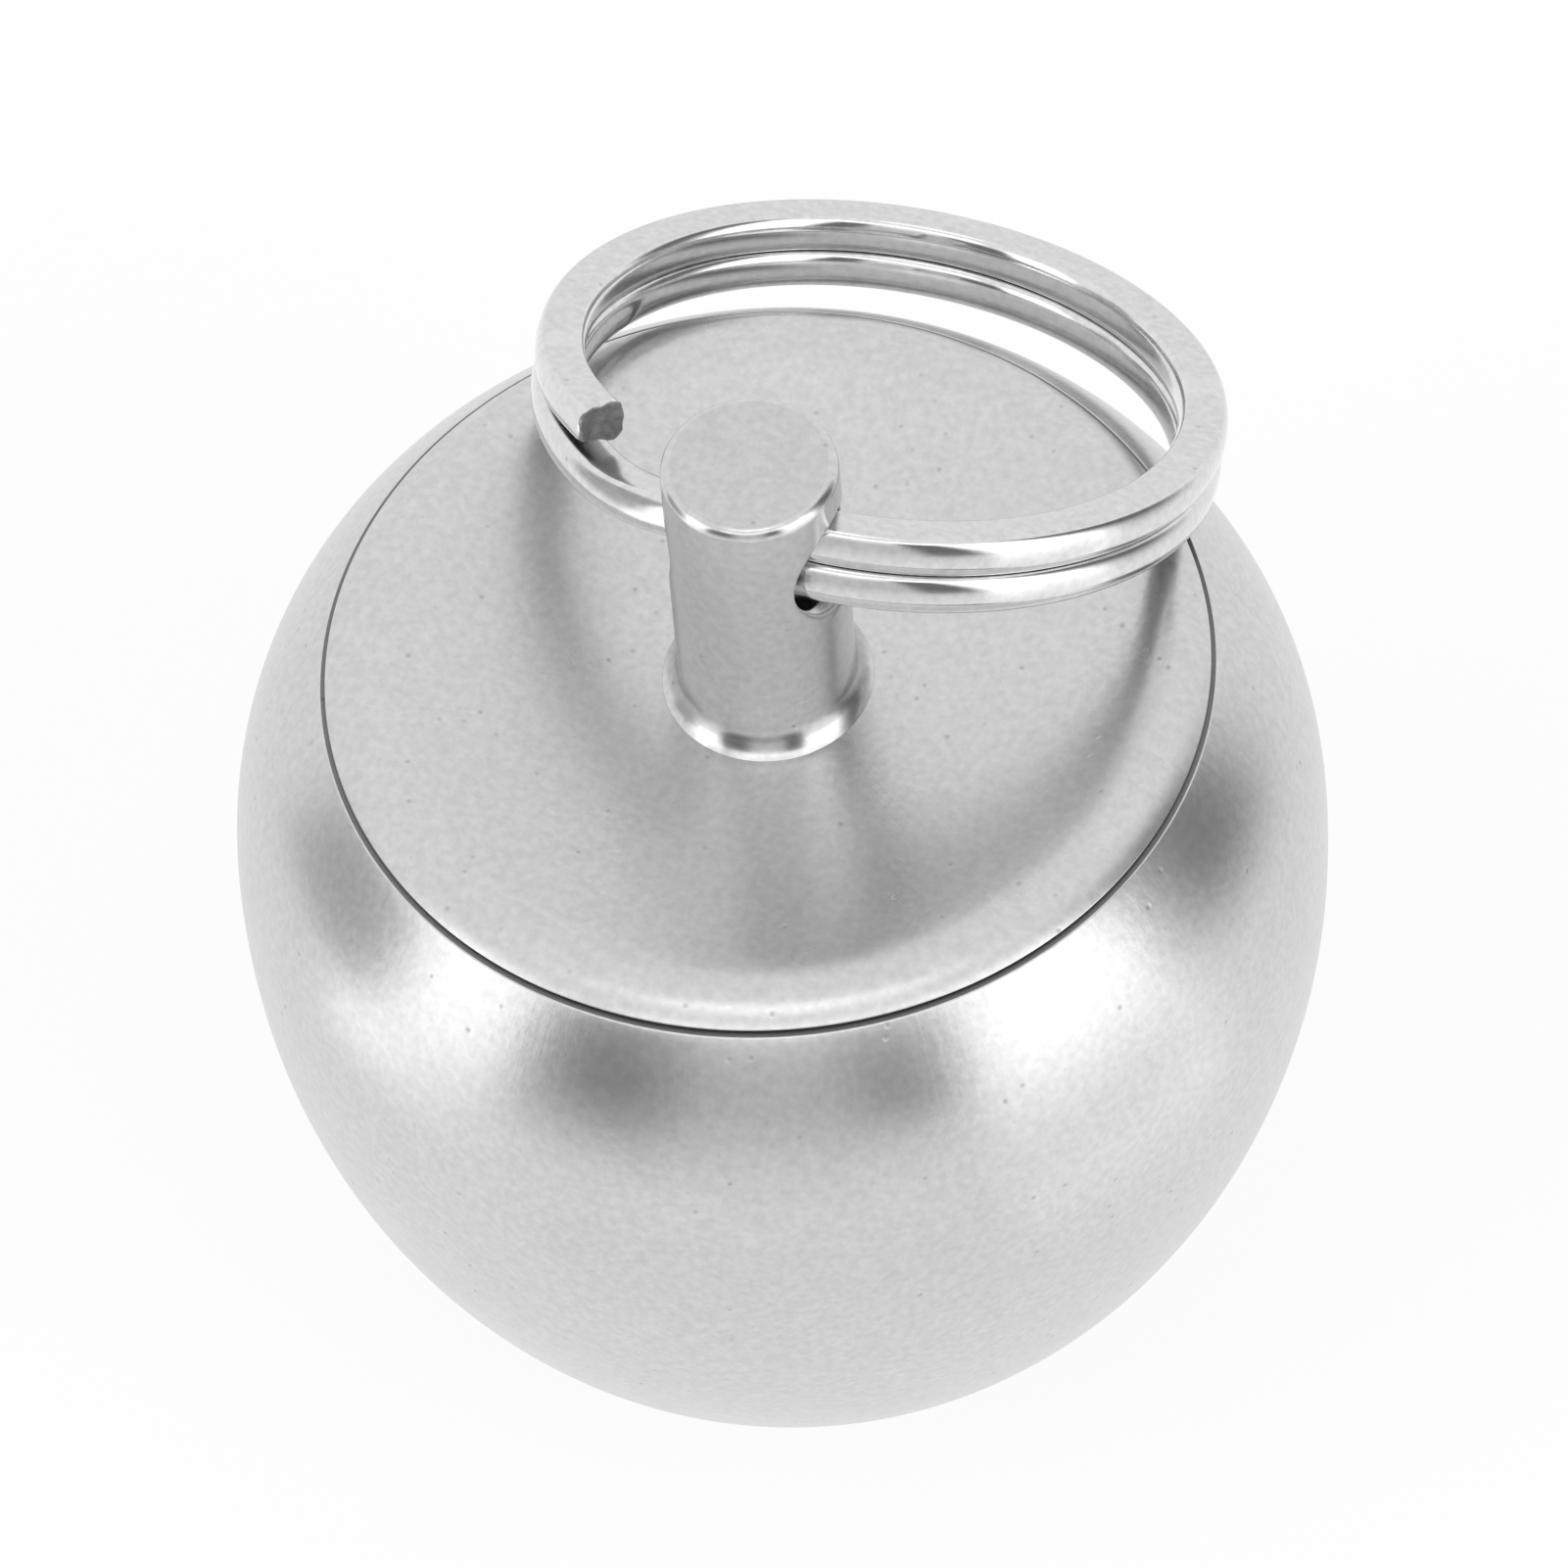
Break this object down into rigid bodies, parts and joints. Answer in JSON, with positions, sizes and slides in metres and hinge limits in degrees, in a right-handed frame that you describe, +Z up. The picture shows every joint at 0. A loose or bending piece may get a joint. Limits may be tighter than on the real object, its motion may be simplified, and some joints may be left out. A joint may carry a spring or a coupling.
{
  "type": "pill capsule container",
  "caption": "Apple-shaped metal pill container with a dished screw lid, a cross-drilled stem, a rubber seal and a split ring for keys.",
  "frame": {"origin": "middle of the flat foot, on the container's axis", "axes": "+Z up along the container's axis, X along the hole in the stem, +Y towards the side the split ring lies on at rest"},
  "size_m": [0.032, 0.0338, 0.0357],
  "materials": {
    "satin_steel": "satin, finely bead-blasted",
    "turned_steel": "fine turned",
    "polished_steel": "polished sides, duller flat faces",
    "seal_rubber": "matt"
  },
  "bodies": {
    "apple_body": {"apple_body": "satin_steel"},
    "seal_ring": {"seal_ring": "seal_rubber"},
    "lid": {"lid": "satin_steel", "stem": "turned_steel"},
    "split_ring": {"split_ring": "polished_steel"}
  },
  "joints": [
    {"name": "lid_lift", "type": "slide", "parent": "apple_body", "child": "seal_ring", "axis": [0, 0, 1], "range_m": [0, 0.012]},
    {"name": "lid_turn", "type": "hinge", "parent": "seal_ring", "child": "lid", "pos_m": [0, 0, 0.0267], "axis": [0, 0, 1], "range_deg": [0, 2880]},
    {"name": "ring_swing", "type": "hinge", "parent": "lid", "child": "split_ring", "pos_m": [0, 0, 0.03257], "axis": [1, 0, 0], "range_deg": [0, 226]}
  ],
  "couplings": [
    {"joint": "lid_lift", "follows": "lid_turn", "m_per_rad": 0.00023873}
  ]
}
